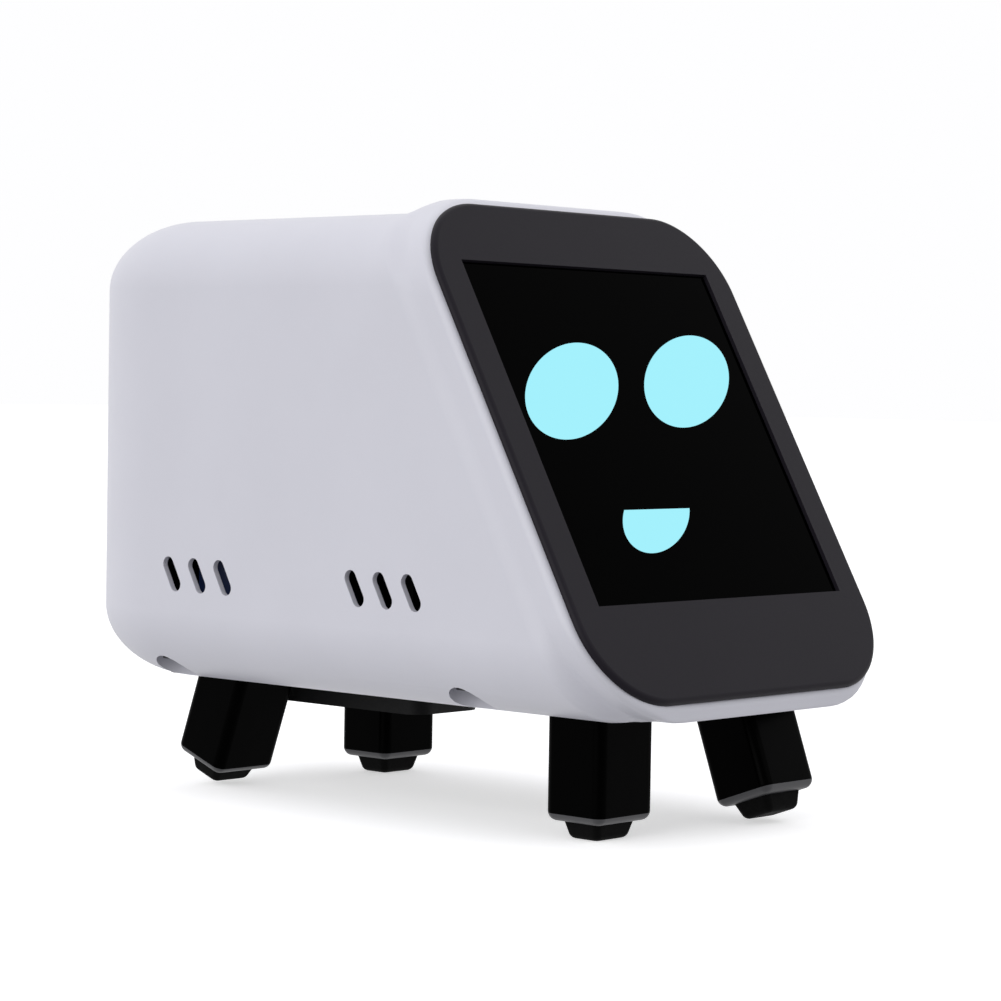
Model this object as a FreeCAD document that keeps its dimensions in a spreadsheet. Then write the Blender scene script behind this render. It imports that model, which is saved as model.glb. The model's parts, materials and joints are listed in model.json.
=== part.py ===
# Desk robot on four short legs: a rounded white shell with a leaning screen face,
# a black frame that carries four geared hip servos, and four block legs.
# Millimetres, +Z up. The face looks towards -Y, and the robot's right side is -X.
# The origin is on the ground below the middle of the robot.
import FreeCAD
import Part
import math
import os
import Sketcher
from FreeCAD import Placement, Rotation, Vector

doc = FreeCAD.newDocument("coding_robot")
sheet = doc.addObject("Spreadsheet::Sheet", "Sizes")

# Lengths along the body ("_y") run rearwards from the foot of the display's leaning
# plane, which the shell's rim stands in front of by face_rim. Heights ("_z") run up
# from the shell's underside.
SIZES = {
    "front_y": -49.8,           # foot of the display's plane, from the origin
    "ground_gap": 16.2,         # underside above the ground
    "body_width": 62.8,
    "body_length": 100.0,
    "body_height": 64.5,
    "face_lean": 29.3,          # degrees from the vertical
    "edge_round": 12.0,
    "lip_round": 1.8,
    "face_rim": 1.65,
    "wall": 2.0,
    "collar_width": 61.8,
    "collar_top": 38.5,         # up the face, from its middle
    "collar_round": 15.4,
    "collar_depth": 5.6,
    "collar_foot": 8.0,
    "face_hole_width": 55.0,
    "face_hole_height": 57.5,
    "face_hole_middle": 2.75,
    "face_hole_round": 3.0,
    "bezel_width": 60.7,
    "bezel_height": 72.5,
    "bezel_middle": 1.07,
    "bezel_round": 12.0,
    "bezel_thick": 0.85,
    "bezel_ledge": 0.9,
    "bezel_edge": 0.7,
    "bezel_lip": 1.6,
    "glass_thick": 1.1,
    "screen_width": 50.6,
    "screen_height": 49.7,
    "screen_middle": 3.36,
    "screen_ledge": 1.1,        # how far the ledge reaches under the glass
    "panel_width": 52.0,
    "panel_height": 53.4,
    "panel_middle": 2.8,
    "panel_thick": 2.3,
    "board_thick": 1.2,
    "vent_width": 2.1,
    "vent_length": 5.2,
    "vent_z": 15.1,
    "vent_pitch": 5.15,
    "front_vent_y": 37.1,
    "rear_vent_y": 72.9,
    "leg_x": 14.0,
    "leg_width": 11.0,
    "leg_depth": 9.5,
    "leg_round": 1.9,
    "cover_wall": 1.1,
    "sole_thick": 1.0,
    "toe_width": 5.2,
    "toe_depth": 4.5,
    "toe_height": 2.3,
    "toe_round": 0.7,
    "hip_z": 3.2,
    "front_hip_y": 14.4,
    "rear_hip_y": 80.0,
    "swing": 20.0,              # degrees that two of the legs are swung at rest
    "axle_radius": 1.25,
    "axle_clearance": 0.05,
    "axle_inner_x": 1.2,
    "axle_outer_x": 21.4,
    "gear_module": 0.5,
    "hip_teeth": 20,
    "pinion_teeth": 24,
    "gear_inner_x": 1.4,
    "gear_width": 2.8,
    "gear_slack": 0.12,         # play between the teeth
    "gear_lean": 30.0,          # degrees from the vertical, hip to servo shaft
    "floor_width": 43.2,
    "floor_start_y": 3.8,
    "floor_end_y": 90.8,
    "floor_thick": 2.0,
    "floor_round": 2.8,
    "fit_gap": 0.2,
    "window_inner_x": 8.1,
    "window_outer_x": 19.9,
    "window_reach": 9.2,        # leg window, each way from the hip
    "spine_inner_x": 5.2,
    "spine_thick": 2.4,
    "spine_top_z": 18.0,
    "spine_start_y": 8.4,
    "spine_end_y": 90.0,
    "spine_rise_y": 17.0,
    "spine_rise_z": 6.0,
    "post_x": 17.5,             # screwed posts under the front of the main board
    "post_y": 44.0,
    "post_width": 6.0,
    "post_depth": 4.0,
    "rib_x": 15.0,              # ribs under its rear
    "rib_width": 10.0,
    "rib_thick": 1.4,
    "cheek_inner_x": 20.1,
    "cheek_top_z": 7.4,
    "front_cheek_start_y": 9.4,
    "front_cheek_end_y": 29.8,
    "rear_cheek_start_y": 72.0,
    "rear_cheek_end_y": 88.0,
    "gear_pocket_x": 1.0,
    "gear_pocket_width": 3.6,
    "gear_pocket_reach": 6.3,
    "tab_z": 6.0,
    "tab_reach": 5.8,
    "tab_width": 6.0,
    "stud_radius": 1.6,
    "pilot_radius": 0.8,
    "clear_radius": 1.1,        # clearance holes for the small screws
    "screw_x": 25.6,
    "front_screw_y": 26.0,
    "rear_screw_y": 82.8,
    "pocket_radius": 3.2,
    "pocket_z": 4.4,
    "boss_radius": 4.4,
    "servo_length": 20.0,
    "servo_height": 8.8,
    "servo_depth": 17.6,
    "servo_inner_x": 7.8,
    "servo_nose": 4.6,          # shaft to the near end of the case
    "servo_boss_radius": 3.9,
    "servo_boss": 1.5,
    "servo_tab": 3.4,
    "servo_tab_x": 11.0,
    "servo_tab_thick": 1.2,
    "servo_tab_height": 7.0,
    "shaft_radius": 1.95,
    "shaft_end_x": 9.8,
    "belly_width": 13.8,
    "belly_start_y": 54.0,
    "belly_end_y": 92.0,
    "belly_drop": 4.3,
    "belly_wall": 1.2,
    "belly_round": 3.0,
    "belly_room_round": 1.8,
    "belly_screw_inset": 3.6,
    "belly_boss": 2.6,
    "main_board_z": 21.0,
    "main_board_width": 48.0,
    "main_board_start_y": 30.0,
    "main_board_end_y": 95.4,
    "button_x": 16.0,
    "button_z": 25.6,
    "button_radius": 3.5,
    "button_proud": 0.6,
    "usb_width": 9.0,
    "usb_height": 3.2,
    "usb_depth": 7.4,
    "battery_start_y": 50.0,
    "battery_width": 34.0,
    "battery_length": 38.0,
    "battery_thick": 9.0,
    "pad_thick": 1.0,
    "module_width": 25.5,
    "module_length": 11.5,
    "module_thick": 3.2,
    "speaker_y": 55.0,
    "speaker_z": 30.0,
    "speaker_length": 30.0,
    "speaker_height": 20.0,
    "speaker_thick": 4.4,
}
for row, (alias, value) in enumerate(SIZES.items(), start=1):
    sheet.set(f"A{row}", alias)
    sheet.set(f"B{row}", str(value))
    sheet.setAlias(f"B{row}", alias)
doc.recompute()

nodes = {}
X_AXIS = Vector(1, 0, 0)
Y_AXIS = Vector(0, 1, 0)
TURN = {"X": Rotation(Y_AXIS, 90), "Y": Rotation(X_AXIS, -90), "Z": Rotation()}


# ---- helpers -------------------------------------------------------------------

def size(alias):
    """Number held by a cell of the sheet."""
    return float(getattr(sheet, alias))


def cells(text):
    """Expression whose words that are aliases point at the sheet."""
    words = []
    word = ""
    for letter in str(text) + " ":
        if letter.isalnum() or letter == "_":
            word += letter
            continue
        words.append(f"Sizes.{word}" if word in SIZES else word)
        words.append(letter)
        word = ""
    return "".join(words).strip()


def bind(thing, **values):
    """Bind properties of an object to expressions."""
    for name, text in values.items():
        thing.setExpression(name, cells(text))


def move(thing, x, y, z):
    """Bind the place of an object."""
    for axis, text in zip("xyz", (x, y, z)):
        thing.setExpression(f".Placement.Base.{axis}", cells(text))


def turn(thing, degrees):
    """Bind the turn of an object about X."""
    thing.Placement = Placement(thing.Placement.Base, Rotation(X_AXIS, 1))
    thing.setExpression(".Placement.Rotation.Angle", cells(degrees))


def on_body(thing, x, y, z):
    """Place a thing by its distances from the face's foot and the underside."""
    move(thing, x, f"front_y + ({y})", f"ground_gap + ({z})")
    return thing


def on_face(thing, x, up, out):
    """Place a thing on the leaning face: across, up the slope and out of it."""
    turn(thing, "90 - face_lean")
    move(
        thing,
        x,
        f"front_y + body_height / 2 * tan(face_lean) + ({up}) * sin(face_lean)"
        f" - ({out}) * cos(face_lean)",
        f"ground_gap + body_height / 2 + ({up}) * cos(face_lean)"
        f" + ({out}) * sin(face_lean)",
    )
    return thing


def box(name, width, depth, height):
    """Box with its low corner at its own origin."""
    thing = doc.addObject("Part::Box", name)
    bind(thing, Length=width, Width=depth, Height=height)
    return thing


def rod(name, radius, length, axis="X"):
    """Cylinder that starts at its own origin and runs along an axis."""
    thing = doc.addObject("Part::Cylinder", name)
    bind(thing, Radius=radius, Height=length)
    thing.Placement = Placement(Vector(), TURN[axis])
    return thing


def fuse(name, *things):
    """Union of several things."""
    thing = doc.addObject("Part::MultiFuse", name)
    thing.Shapes = list(things)
    thing.Refine = True
    return thing


def cut(name, base, *tools):
    """A thing with others cut out of it."""
    thing = doc.addObject("Part::Cut", name)
    thing.Base = base
    thing.Tool = tools[0] if len(tools) == 1 else fuse(f"{name}_tools", *tools)
    thing.Refine = True
    return thing


def common(name, first, second):
    """What two things share."""
    thing = doc.addObject("Part::Common", name)
    thing.Base = first
    thing.Tool = second
    return thing


def rounded(name, base, radius, wanted):
    """Fillet the edges of a thing that a test picks."""
    doc.recompute()
    thing = doc.addObject("Part::Fillet", name)
    thing.Base = base
    picked = [n for n, edge in enumerate(base.Shape.Edges, start=1) if wanted(edge)]
    thing.Edges = [(n, size(radius), size(radius)) for n in picked]
    return thing


def runs_along(direction):
    """Test for straight edges that run along a direction."""
    def wanted(edge):
        first, last = (v.Point for v in (edge.Vertexes[0], edge.Vertexes[-1]))
        along = last.sub(first)
        return along.Length > 0 and along.normalize().cross(direction).Length < 1e-6
    return wanted


def plate(name, width, depth, height, radius):
    """Plate with rounded corners, its low corner at its own origin."""
    return rounded(name, box(f"{name}_block", width, depth, height), radius,
                   runs_along(Vector(0, 0, 1)))


def profile(name, points, width):
    """Body whose side outline, given as (y, z) expressions, is padded across X."""
    body = doc.addObject("PartDesign::Body", name)
    sketch = body.newObject("Sketcher::SketchObject", f"{name}_outline")
    plane = next(p for p in body.Origin.OriginFeatures if p.Role == "YZ_Plane")
    sketch.AttachmentSupport = [(plane, "")]
    sketch.MapMode = "FlatFace"
    count = len(points)
    for n in range(count):
        start = Vector(math.cos(n * math.tau / count), math.sin(n * math.tau / count), 0)
        end = Vector(math.cos((n + 1) * math.tau / count),
                     math.sin((n + 1) * math.tau / count), 0)
        sketch.addGeometry(Part.LineSegment(start * 50, end * 50), False)
    for n in range(count):
        sketch.addConstraint(Sketcher.Constraint("Coincident", n, 2, (n + 1) % count, 1))
    for n, (along, up) in enumerate(points):
        for kind, text in (("DistanceX", along), ("DistanceY", up)):
            index = sketch.addConstraint(Sketcher.Constraint(kind, -1, 1, n, 1, 1.0))
            sketch.setExpression(f"Constraints[{index}]", cells(text))
    pad = body.newObject("PartDesign::Pad", f"{name}_pad")
    pad.Profile = sketch
    pad.SideType = "Symmetric"
    bind(pad, Length=width)
    doc.recompute()
    return body


def soften(body, radius, wanted):
    """Add a fillet to the end of a body."""
    base = body.Tip
    picked = [f"Edge{n}" for n, edge in enumerate(base.Shape.Edges, 1) if wanted(edge)]
    fillet = body.newObject("PartDesign::Fillet", f"{body.Name}_fillet")
    fillet.Base = (base, picked)
    bind(fillet, Radius=radius)
    doc.recompute()


def side_x(side, inner, outer):
    """Low X of a span that lies between two distances on one side."""
    return inner if side > 0 else f"-({outer})"


def node(name, thing):
    """Name a finished sub-part."""
    thing.Label = name
    nodes[name] = thing


# ---- shell ---------------------------------------------------------------------

def off_the_face(edge):
    """Test for the edges of the hull that don't bound the leaning face."""
    slope = math.tan(math.radians(size("face_lean")))
    lean = [v.Point.y - v.Point.z * slope for v in edge.Vertexes]
    return max(lean) > size("wall") * 2


def hull(name, inset, radius):
    """Rounded hull of the shell, drawn in by an inset."""
    behind = f"(({inset}) - face_rim) / cos(face_lean)"
    foot = f"({inset}) * tan(face_lean) + {behind}"
    head = f"(body_height - ({inset})) * tan(face_lean) + {behind}"
    body = profile(
        name,
        [(foot, inset), (f"body_length - ({inset})", inset),
         (f"body_length - ({inset})", f"body_height - ({inset})"),
         (head, f"body_height - ({inset})")],
        f"body_width - 2 * ({inset})",
    )
    soften(body, radius, off_the_face)
    if not inset:
        soften(body, "lip_round", lambda edge: not off_the_face(edge))
    return on_body(body, "0", "0", "0")


def vent(name, y):
    """Cutter for one leaning vent slot, right across the shell."""
    straight = "vent_length - vent_width"
    slot = box(f"{name}_slot", "body_width + 2", "vent_width", straight)
    move(slot, "0", "-vent_width / 2", f"-({straight}) / 2")
    ends = []
    for end in (-1, 1):
        cap = rod(f"{name}_end{end + 1}", "vent_width / 2", "body_width + 2")
        move(cap, "0", "0", f"{end} * ({straight}) / 2")
        ends.append(cap)
    cutter = fuse(name, slot, *ends)
    turn(cutter, "-face_lean")
    return on_body(cutter, "-body_width / 2 - 1", y, "vent_z")


def make_shell():
    """White one-piece shell with a raised collar round the top of the face."""
    collar = rounded(
        "collar",
        box("collar_block", "collar_width", "collar_top + collar_foot",
            "collar_depth + face_rim"),
        "collar_round",
        lambda e: runs_along(Vector(0, 0, 1))(e) and e.Vertexes[0].Point.y > 1,
    )
    on_face(collar, "-collar_width / 2", "-collar_foot", "-collar_depth")
    outer = hull("outer_hull", 0, "edge_round")
    skin = fuse("skin", outer, collar)
    hollow = hull("inner_hull", "wall", "edge_round - wall")

    face_hole = plate("face_hole", "face_hole_width", "face_hole_height", "6",
                      "face_hole_round")
    on_face(face_hole, "-face_hole_width / 2",
            "face_hole_middle - face_hole_height / 2", "-4")
    floor_hole = plate("floor_hole", "floor_width + 2 * fit_gap",
                       "floor_end_y - floor_start_y + 2 * fit_gap", "4", "floor_round")
    on_body(floor_hole, "-floor_width / 2 - fit_gap", "floor_start_y - fit_gap", "-1")
    tools = [hollow, face_hole, floor_hole]
    for group, middle in (("front", "front_vent_y"), ("rear", "rear_vent_y")):
        for step in (-1, 0, 1):
            tools.append(vent(f"{group}_vent{step + 1}", f"{middle} + {step} * vent_pitch"))
    usb_hole = box("usb_hole", "usb_width + 0.6", "6", "usb_height + 0.6")
    tools.append(on_body(usb_hole, "-usb_width / 2 - 0.3", "body_length - 4",
                         "main_board_z + board_thick - 0.3"))
    button_hole = rod("button_hole", "button_radius + 0.3", "6", "Y")
    tools.append(on_body(button_hole, "button_x", "body_length - 4", "button_z"))
    shell = cut("hollow_shell", skin, *tools)

    bosses = []
    holes = []
    for side in (-1, 1):
        for end in ("front", "rear"):
            name = f"{end}_boss{side + 1}"
            place = (f"{side} * screw_x", f"{end}_screw_y")
            post = on_body(rod(name, "boss_radius", "tab_z - 1.5", "Z"), *place, "1.5")
            trim = box(f"{name}_trim", "boss_radius", "boss_radius * 2", "tab_z")
            inner_edge = "floor_width / 2 + 1.5 * fit_gap"
            on_body(trim, side_x(side, f"{inner_edge} - boss_radius", inner_edge),
                    f"{end}_screw_y - boss_radius", "0")
            bosses.append(common(f"{name}_in_hull", cut(f"{name}_flat", post, trim), outer))
            pocket = rod(f"{name}_pocket", "pocket_radius", "pocket_z + 1", "Z")
            holes.append(on_body(pocket, *place, "-1"))
            hole = rod(f"{name}_hole", "1.2", "tab_z + 1", "Z")
            holes.append(on_body(hole, *place, "-0.5"))
    node("main_shell", cut("main_shell", fuse("bossed_shell", shell, *bosses), *holes))


# ---- face ----------------------------------------------------------------------

def face_plate(name, width, height, middle, out, thick, radius=None):
    """Flat plate that lies on the leaning face, centred across it."""
    block = (plate(name, width, height, thick, radius) if radius
             else box(name, width, height, thick))
    return on_face(block, f"-({width}) / 2", f"{middle} - ({height}) / 2", out)


def make_face():
    """Dark bezel, the glass in it and the display behind it."""
    slab = rounded("bezel_slab",
                   plate("bezel_plate", "bezel_width", "bezel_height", "bezel_thick",
                         "bezel_round"),
                   "bezel_edge", lambda e: e.BoundBox.ZMin > size("bezel_thick") - 1e-6)
    on_face(slab, "-bezel_width / 2", "bezel_middle - bezel_height / 2", "face_rim")
    lip = face_plate("bezel_lip", "face_hole_width - 0.6", "face_hole_height - 0.6",
                     "face_hole_middle", "-bezel_lip", "bezel_lip + face_rim",
                     "floor_round")
    lip_room = face_plate("bezel_lip_room", "panel_width + 0.4", "panel_height + 0.4",
                          "panel_middle", "-bezel_lip - 0.1", "bezel_lip + 0.1")
    window = face_plate("bezel_window", "screen_width - 2 * screen_ledge",
                        "screen_height - 2 * screen_ledge", "screen_middle", "-1",
                        "bezel_ledge + 2")
    rebate = face_plate("bezel_rebate", "screen_width", "screen_height",
                        "screen_middle", "bezel_ledge", "face_rim + bezel_thick")
    body = fuse("bezel_body", slab, cut("bezel_ring", lip, lip_room))
    node("face_bezel", cut("face_bezel", body, window, rebate))
    node("display_glass",
         face_plate("display_glass", "screen_width - 0.2", "screen_height - 0.2",
                    "screen_middle", "bezel_ledge", "glass_thick"))
    node("lcd_panel", face_plate("lcd_panel", "panel_width", "panel_height",
                                 "panel_middle", "-panel_thick - 0.05", "panel_thick"))
    node("display_board", face_plate("display_board", "50", "44", "7",
                                     "-panel_thick - 0.05 - board_thick", "board_thick"))


# ---- frame ---------------------------------------------------------------------

def hip_place(end):
    """Y and Z of a hip's axis."""
    return f"{end}_hip_y", "hip_z"


def shaft_place(end):
    """Y and Z of a servo's output shaft: up from the hip, towards mid-body."""
    towards_middle = 1 if end == "front" else -1
    reach = "gear_module * (hip_teeth + pinion_teeth) / 2"
    return (f"{end}_hip_y + {towards_middle} * {reach} * sin(gear_lean)",
            f"hip_z + {reach} * cos(gear_lean)")


def make_frame():
    """Black frame: floor, two long spines, cheeks at the hips, posts and tabs."""
    solids = []
    holes = []
    floor = plate("floor", "floor_width", "floor_end_y - floor_start_y", "floor_thick",
                  "floor_round")
    solids.append(on_body(floor, "-floor_width / 2", "floor_start_y", "0"))
    for side in (-1, 1):
        spine = profile(f"spine{side + 1}",
                        [("spine_start_y", "0"), ("spine_end_y", "0"),
                         ("spine_end_y", "spine_top_z"),
                         ("spine_rise_y", "spine_top_z"),
                         ("spine_start_y", "spine_rise_z")], "spine_thick")
        solids.append(on_body(spine, f"{side} * (spine_inner_x + spine_thick / 2)",
                              "0", "0"))
        post = box(f"board_post{side + 1}", "post_width", "post_depth", "main_board_z")
        solids.append(on_body(post, f"{side} * post_x - post_width / 2",
                              "post_y - post_depth / 2", "0"))
        rib = box(f"board_rib{side + 1}", "rib_width", "rib_thick", "main_board_z")
        solids.append(on_body(rib, f"{side} * rib_x - rib_width / 2",
                              "floor_end_y - rib_thick - 0.1", "0"))
        holes.append(on_body(rod(f"post_hole{side + 1}", "pilot_radius", "8", "Z"),
                             f"{side} * post_x", "post_y", "main_board_z - 6"))
        for end in ("front", "rear"):
            name = f"{end}{side + 1}"
            hip_y, hip_z = hip_place(end)
            shaft_y, shaft_z = shaft_place(end)
            cheek = box(f"cheek_{name}", "floor_width / 2 - cheek_inner_x",
                        f"{end}_cheek_end_y - {end}_cheek_start_y", "cheek_top_z")
            solids.append(on_body(cheek, side_x(side, "cheek_inner_x", "floor_width / 2"),
                                  f"{end}_cheek_start_y", "0"))
            tab = box(f"tab_{name}", "tab_reach + 0.2", "tab_width",
                      "cheek_top_z - tab_z")
            solids.append(on_body(tab, side_x(side, "floor_width / 2 - 0.2",
                                              "floor_width / 2 + tab_reach"),
                                  f"{end}_screw_y - tab_width / 2", "tab_z"))
            holes.append(on_body(rod(f"tab_hole_{name}", "1.0", "4", "Z"),
                                 f"{side} * screw_x", f"{end}_screw_y", "tab_z - 1"))
            for place in servo_tabs(end):
                stud = rod(f"stud_{name}_{len(solids)}", "stud_radius",
                           "servo_tab_x - spine_inner_x - 1")
                solids.append(on_body(stud, side_x(side, "spine_inner_x + 1",
                                                   "servo_tab_x"), place, shaft_z))
                pilot = rod(f"pilot_{name}_{len(holes)}", "pilot_radius", "servo_tab_x")
                holes.append(on_body(pilot, side_x(side, "8.8", "servo_tab_x + 8.8"),
                                     place, shaft_z))
            window = box(f"window_{name}", "window_outer_x - window_inner_x",
                         "2 * window_reach", "floor_thick + 2")
            holes.append(on_body(window, side_x(side, "window_inner_x", "window_outer_x"),
                                 f"{hip_y} - window_reach", "-1"))
            pocket = box(f"gear_pocket_{name}", "gear_pocket_width",
                         "2 * gear_pocket_reach", "4")
            holes.append(on_body(pocket, side_x(side, "gear_pocket_x",
                                                "gear_pocket_x + gear_pocket_width"),
                                 f"{hip_y} - gear_pocket_reach", "0.5"))
            bore = rod(f"axle_bore_{name}", "axle_radius + axle_clearance",
                       "floor_width / 2")
            holes.append(on_body(bore, side_x(side, "1", "floor_width / 2 + 1"),
                                 hip_y, hip_z))
            eye = rod(f"servo_eye_{name}", "servo_boss_radius + 0.2", "6")
            holes.append(on_body(eye, side_x(side, "4", "10"), shaft_y, shaft_z))
    for place in belly_screws():
        holes.append(on_body(rod(f"belly_pilot_{len(holes)}", "pilot_radius", "4", "Z"), "0",
                             place, "-1"))
    node("servo_frame", cut("servo_frame", fuse("frame_solids", *solids), *holes))


def belly_screws():
    """Y of the two screws that hold the belly cover."""
    return "belly_start_y + belly_screw_inset", "belly_end_y - belly_screw_inset"


def make_belly():
    """Black tray under the rear half, over the wiring."""
    outside = plate("belly_block", "belly_width", "belly_end_y - belly_start_y",
                    "belly_drop", "belly_round")
    on_body(outside, "-belly_width / 2", "belly_start_y", "-belly_drop")
    room = plate("belly_room", "belly_width - 2 * belly_wall",
                 "belly_end_y - belly_start_y - 2 * belly_wall", "belly_drop",
                 "belly_room_round")
    on_body(room, "-belly_width / 2 + belly_wall", "belly_start_y + belly_wall",
            "-belly_drop + belly_wall")
    solids = [cut("belly_tray", outside, room)]
    holes = []
    for n, place in enumerate(belly_screws()):
        solids.append(on_body(rod(f"belly_boss{n}", "belly_boss", "belly_drop - 0.6", "Z"),
                              "0", place, "-belly_drop + 0.6"))
        holes.append(on_body(rod(f"belly_hole{n}", "clear_radius", "belly_drop + 1", "Z"),
                             "0", place, "-belly_drop - 0.5"))
        holes.append(on_body(rod(f"belly_sink{n}", "1.9", "2.4", "Z"), "0", place,
                             "-belly_drop - 1"))
    node("belly_cover", cut("belly_cover", fuse("belly_solids", *solids), *holes))


def screw(name, head, shank, length, axis, flip, head_height="1.2"):
    """Screw whose head's seat is at its own origin; flip runs the shank down."""
    top = rod(f"{name}_head", head, head_height, axis)
    stem = rod(f"{name}_stem", shank, length, axis)
    dropped = top if flip > 0 else stem
    text = f"-({head_height})" if flip > 0 else f"-({length})"
    move(dropped, *(text if letter == axis else "0" for letter in "XYZ"))
    return fuse(name, top, stem)


def make_fasteners():
    """Screws, one node for each kind."""
    ends = ("front", "rear")
    shell_screws = [
        on_body(screw(f"shell_screw_{end}{side + 1}", "2.3", "1.0", "3.0", "Z", 1, "1.6"),
                f"{side} * screw_x", f"{end}_screw_y", "pocket_z")
        for side in (-1, 1) for end in ends
    ]
    servo_screws = [
        on_body(screw(f"servo_screw_{end}{side + 1}_{n}", "1.5", "pilot_radius", "3.4", "X",
                      -side),
                f"{side} * (servo_tab_x + servo_tab_thick)", place, shaft_place(end)[1])
        for side in (-1, 1) for end in ends for n, place in enumerate(servo_tabs(end))
    ]
    board_screws = [
        on_body(screw(f"board_screw{side + 1}", "1.7", "pilot_radius", "5", "Z", -1),
                f"{side} * post_x", "post_y", "main_board_z + board_thick")
        for side in (-1, 1)
    ]
    belly = [
        on_body(screw(f"belly_screw{n}", "1.7", "pilot_radius", "belly_drop + 0.6", "Z", 1),
                "0", place, "-belly_drop + 1.4")
        for n, place in enumerate(belly_screws())
    ]
    for name, group in (("shell_screws", shell_screws), ("servo_screws", servo_screws),
                        ("board_screws", board_screws), ("belly_screws", belly)):
        thing = doc.addObject("Part::Compound", name)
        thing.Links = group
        node(name, thing)


# ---- electronics ---------------------------------------------------------------

def block(name, x, y, z, width, depth, height):
    """Plain box sub-part, centred on an X, with its low Y and Z given."""
    node(name, on_body(box(name, width, depth, height), f"{x} - ({width}) / 2", y, z))


def make_electronics():
    """Main board with its parts, battery and speaker."""
    top = "main_board_z + board_thick"
    board = box("board_block", "main_board_width",
                "main_board_end_y - main_board_start_y", "board_thick")
    on_body(board, "-main_board_width / 2", "main_board_start_y", "main_board_z")
    holes = [on_body(rod(f"board_hole{side + 1}", "clear_radius", "4", "Z"),
                     f"{side} * post_x", "post_y", "main_board_z - 1")
             for side in (-1, 1)]
    node("main_board", cut("main_board", board, *holes))
    block("processor_module", "0", "main_board_start_y + 1", top, "module_width",
          "module_length", "module_thick")
    block("battery_pad", "0", "battery_start_y", top, "battery_width",
          "battery_length", "pad_thick")
    block("battery_pack", "0", "battery_start_y", f"{top} + pad_thick",
          "battery_width", "battery_length", "battery_thick")
    port = box("usb_shell", "usb_width", "usb_depth", "usb_height")
    on_body(port, "-usb_width / 2", "body_length - 9.8", top)
    mouth = box("usb_mouth", "usb_width - 0.6", "6.4", "usb_height - 0.6")
    on_body(mouth, "-usb_width / 2 + 0.3", "body_length - 8", f"{top} + 0.3")
    node("usb_socket", cut("usb_socket", port, mouth))
    block("speaker", "-body_width / 2 + wall + speaker_thick / 2 + 0.1", "speaker_y",
          "speaker_z", "speaker_thick", "speaker_length", "speaker_height")
    switch = box("switch_case", "6", "2.6", "4.8")
    on_body(switch, "button_x - 3", "body_length - 7.4", top)
    plunger = rod("switch_plunger", "1.0", "1.2", "Y")
    on_body(plunger, "button_x", "body_length - 5.1", "button_z")
    node("power_switch", fuse("power_switch", switch, plunger))
    stem = rod("button_stem", "button_radius", "button_proud + wall + 0.6", "Y")
    on_body(stem, "button_x", "body_length - wall - 0.6", "button_z")
    flange = rod("button_flange", "button_radius + 0.8", "0.8", "Y")
    on_body(flange, "button_x", "body_length - wall - 1", "button_z")
    node("power_button", fuse("power_button", stem, flange))


# ---- servos and gears ----------------------------------------------------------

def servo_tabs(end):
    """Y of the screws in a servo's two tabs."""
    towards_middle = 1 if end == "front" else -1
    shaft_y = shaft_place(end)[0]
    near = "servo_nose + servo_tab / 2"
    far = "servo_length - servo_nose + servo_tab / 2"
    return (f"{shaft_y} - {towards_middle} * ({near})",
            f"{shaft_y} + {towards_middle} * ({far})")


def make_servo(corner, side, end):
    """Micro servo case with its tabs and the nose round its shaft."""
    shaft_y, shaft_z = shaft_place(end)
    nose, tail = "servo_nose", "(servo_length - servo_nose)"
    low, high = (nose, tail) if end == "front" else (tail, nose)
    case = box(f"case_{corner}", "servo_depth", "servo_length", "servo_height")
    on_body(case, side_x(side, "servo_inner_x", "servo_inner_x + servo_depth"),
            f"{shaft_y} - {low}", f"{shaft_z} - servo_height / 2")
    ears = box(f"ears_{corner}", "servo_tab_thick", "servo_length + 2 * servo_tab",
               "servo_tab_height")
    on_body(ears, side_x(side, "servo_tab_x", "servo_tab_x + servo_tab_thick"),
            f"{shaft_y} - {low} - servo_tab", f"{shaft_z} - servo_tab_height / 2")
    nose_ring = rod(f"nose_{corner}", "servo_boss_radius", "servo_boss + 1")
    on_body(nose_ring, side_x(side, "servo_inner_x - servo_boss", "servo_inner_x + 1"),
            shaft_y, shaft_z)
    holes = [on_body(rod(f"ear_hole_{corner}_{n}", "0.9", "6"),
                     side_x(side, "servo_tab_x - 2", "servo_tab_x + 4"), place, shaft_z)
             for n, place in enumerate(servo_tabs(end))]
    bore = rod(f"shaft_bore_{corner}", "shaft_radius + axle_clearance", "5")
    holes.append(on_body(bore, side_x(side, "shaft_end_x - 4.8", "shaft_end_x + 0.2"),
                         shaft_y, shaft_z))
    solids = fuse(f"servo_solids_{corner}", case, ears, nose_ring)
    node(f"servo_{corner}", cut(f"servo_{corner}", solids, *holes))


def involute(angle):
    """Involute of a pressure angle, in radians."""
    return math.tan(angle) - angle


def spur_gear(teeth, first):
    """Spur gear in the YZ plane, with the middle of a tooth at an angle in radians."""
    module = size("gear_module")
    pitch = module * teeth / 2
    pressure = math.radians(20)
    base = pitch * math.cos(pressure)
    root, tip = pitch - 1.25 * module, pitch + 0.9 * module
    half_tooth = math.pi / (2 * teeth) - size("gear_slack") / (4 * pitch)
    flank = [root]
    steps = 4
    flank += [base + (tip - base) * step / steps for step in range(steps + 1)]

    def half_angle(radius):
        """Half the tooth's angle at a radius; the flank is radial under the base."""
        at_radius = math.acos(min(1.0, base / radius))
        return half_tooth + involute(pressure) - involute(at_radius)

    points = []
    for tooth in range(teeth):
        middle = first + tooth * math.tau / teeth
        sides = [(-half_angle(r), r) for r in flank]
        sides += [(half_angle(r), r) for r in reversed(flank)]
        for offset, radius in sides:
            points.append(Vector(0, radius * math.cos(middle + offset),
                                 radius * math.sin(middle + offset)))
    outline = Part.makePolygon(points + points[:1])
    return Part.Face(outline).extrude(X_AXIS * size("gear_width"))


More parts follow.
